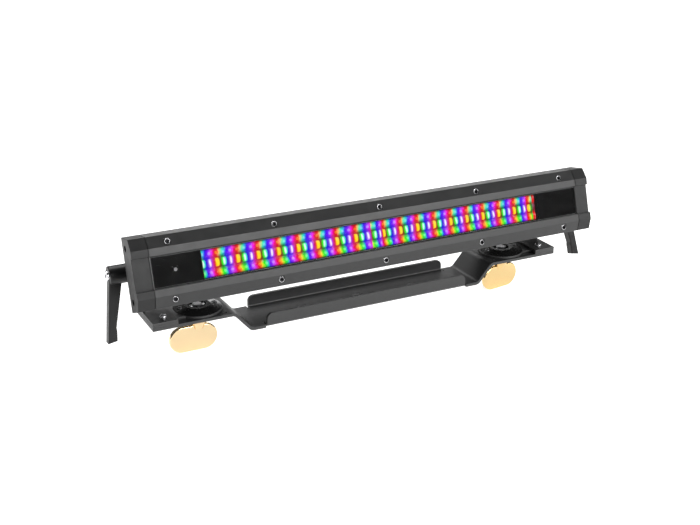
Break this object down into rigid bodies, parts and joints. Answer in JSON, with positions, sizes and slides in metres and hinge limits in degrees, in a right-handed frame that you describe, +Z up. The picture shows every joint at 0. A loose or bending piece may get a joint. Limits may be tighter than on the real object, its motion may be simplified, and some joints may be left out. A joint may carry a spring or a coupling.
{
  "type": "led strip batten",
  "caption": "Slim tilting LED light bar on two yoke arms with clamping levers, held by quarter-turn locks on an omega bracket with a clamp hole.",
  "frame": {"origin": "centre of the clamp hole at the underside of the omega bracket's floor", "axes": "+X along the bar, +Y to the back, +Z up from the bracket to the light; the light leaves towards -Y"},
  "size_m": [0.534, 0.0882, 0.1374],
  "materials": {
    "bracket_paint": "fine-textured charcoal powder coat",
    "profile_paint": "satin charcoal powder coat on an aluminium extrusion",
    "housing_paint": "satin black powder coat on an aluminium extrusion",
    "lock_black": "smooth moulded black",
    "gold": "polished pale gold plating",
    "steel": "machined zinc-plated steel",
    "bright_zinc": "bright zinc",
    "black_screw": "black oxide",
    "seal_rubber": "matt seal rubber",
    "window_clear": "clear glossy cover",
    "lens_clear": "frosted clear lens plate",
    "mask_black": "gloss black",
    "led_white": "moulded white package",
    "board_green": "solder-mask green",
    "bare_aluminium": "mill finish",
    "lever_black": "fine-grained glass-filled nylon",
    "socket_black": "moulded black",
    "contact_metal": "bright nickel plating",
    "panel_black": "satin overlay",
    "display_glass": "dark display window",
    "button_rubber": "soft grey key",
    "washer_fibre": "fibre",
    "cable_jacket": "flat cable jacket"
  },
  "bodies": {
    "bracket": {"omega_bracket": "bracket_paint", "foot_screws": "bright_zinc", "lock_socket_screws": "black_screw", "foot_plate_left": "bracket_paint", "foot_plate_right": "bracket_paint", "yoke_arm_left": "bracket_paint", "yoke_arm_right": "bracket_paint", "lock_socket_left": "lock_black", "lock_socket_right": "lock_black"},
    "toggle_left": {"wing_toggle_left": "gold", "lock_stud_left": "steel", "lock_spring_left": "steel"},
    "toggle_right": {"wing_toggle_right": "gold", "lock_stud_right": "steel", "lock_spring_right": "steel"},
    "head": {"front_profile": "profile_paint", "front_screws_upper": "black_screw", "front_screws_lower": "black_screw", "end_gaskets": "seal_rubber", "end_cap_screws": "black_screw", "window_cover": "window_clear", "window_masks": "mask_black", "remote_sensor": "mask_black", "lens_array": "lens_clear", "led_emitters": "led_white", "heat_spreader": "bare_aluminium", "rear_housing": "housing_paint", "end_plate_screws": "black_screw", "pivot_bushes": "steel", "friction_washers": "washer_fibre", "power_supply_board": "board_green", "led_driver_board": "board_green", "control_board": "board_green", "control_panel": "panel_black", "display": "display_glass", "power_inlet": "socket_black", "power_outlet": "socket_black", "dmx_input": "socket_black", "dmx_output": "socket_black", "power_inlet_blades": "contact_metal", "dmx_input_pins": "contact_metal", "led_cable": "cable_jacket", "end_cap_left": "profile_paint", "end_cap_right": "profile_paint", "led_board_left": "board_green", "led_board_right": "board_green", "rear_end_plate_left": "housing_paint", "rear_end_plate_right": "housing_paint"},
    "clamp_left": {"clamp_insert_left": "steel", "clamp_screw_left": "bright_zinc", "clamp_spring_left": "steel"},
    "clamp_right": {"clamp_insert_right": "steel", "clamp_screw_right": "bright_zinc", "clamp_spring_right": "steel"},
    "lever_left": {"clamp_lever_left": "lever_black"},
    "lever_right": {"clamp_lever_right": "lever_black"},
    "menu_button": {"menu_button": "button_rubber"},
    "down_button": {"down_button": "button_rubber"},
    "up_button": {"up_button": "button_rubber"},
    "enter_button": {"enter_button": "button_rubber"}
  },
  "joints": [
    {"name": "head_tilt", "type": "hinge", "parent": "bracket", "child": "head", "pos_m": [0, 0, 0.0714], "axis": [1, 0, 0], "range_deg": [-160, 35]},
    {"name": "lock_left_turn", "type": "hinge", "parent": "bracket", "child": "toggle_left", "pos_m": [-0.176, 0, 0.0204], "axis": [0, 0, -1], "range_deg": [0, 90]},
    {"name": "lever_left_turn", "type": "hinge", "parent": "head", "child": "clamp_left", "pos_m": [-0.24, 0, 0.0714], "axis": [1, 0, 0], "range_deg": [-90, 90]},
    {"name": "lever_left_pull", "type": "slide", "parent": "clamp_left", "child": "lever_left", "axis": [-1, 0, 0], "range_m": [0, 0.004], "stiffness_N_per_m": 400, "springref_m": -0.004, "deforming": ["clamp_spring_left"]},
    {"name": "lock_right_turn", "type": "hinge", "parent": "bracket", "child": "toggle_right", "pos_m": [0.176, 0, 0.0204], "axis": [0, 0, 1], "range_deg": [-9.4, 80.6]},
    {"name": "lever_right_turn", "type": "hinge", "parent": "head", "child": "clamp_right", "pos_m": [0.24, 0, 0.0714], "axis": [1, 0, 0], "range_deg": [-90, 90]},
    {"name": "lever_right_pull", "type": "slide", "parent": "clamp_right", "child": "lever_right", "axis": [1, 0, 0], "range_m": [0, 0.004], "stiffness_N_per_m": 400, "springref_m": -0.004, "deforming": ["clamp_spring_right"]},
    {"name": "menu_button_press", "type": "slide", "parent": "head", "child": "menu_button", "axis": [0, -0.956, 0.2932], "range_m": [0, 0.001], "stiffness_N_per_m": 600, "springref_m": -0.001},
    {"name": "down_button_press", "type": "slide", "parent": "head", "child": "down_button", "axis": [0, -0.956, 0.2932], "range_m": [0, 0.001], "stiffness_N_per_m": 600, "springref_m": -0.001},
    {"name": "up_button_press", "type": "slide", "parent": "head", "child": "up_button", "axis": [0, -0.956, 0.2932], "range_m": [0, 0.001], "stiffness_N_per_m": 600, "springref_m": -0.001},
    {"name": "enter_button_press", "type": "slide", "parent": "head", "child": "enter_button", "axis": [0, -0.956, 0.2932], "range_m": [0, 0.001], "stiffness_N_per_m": 600, "springref_m": -0.001}
  ]
}
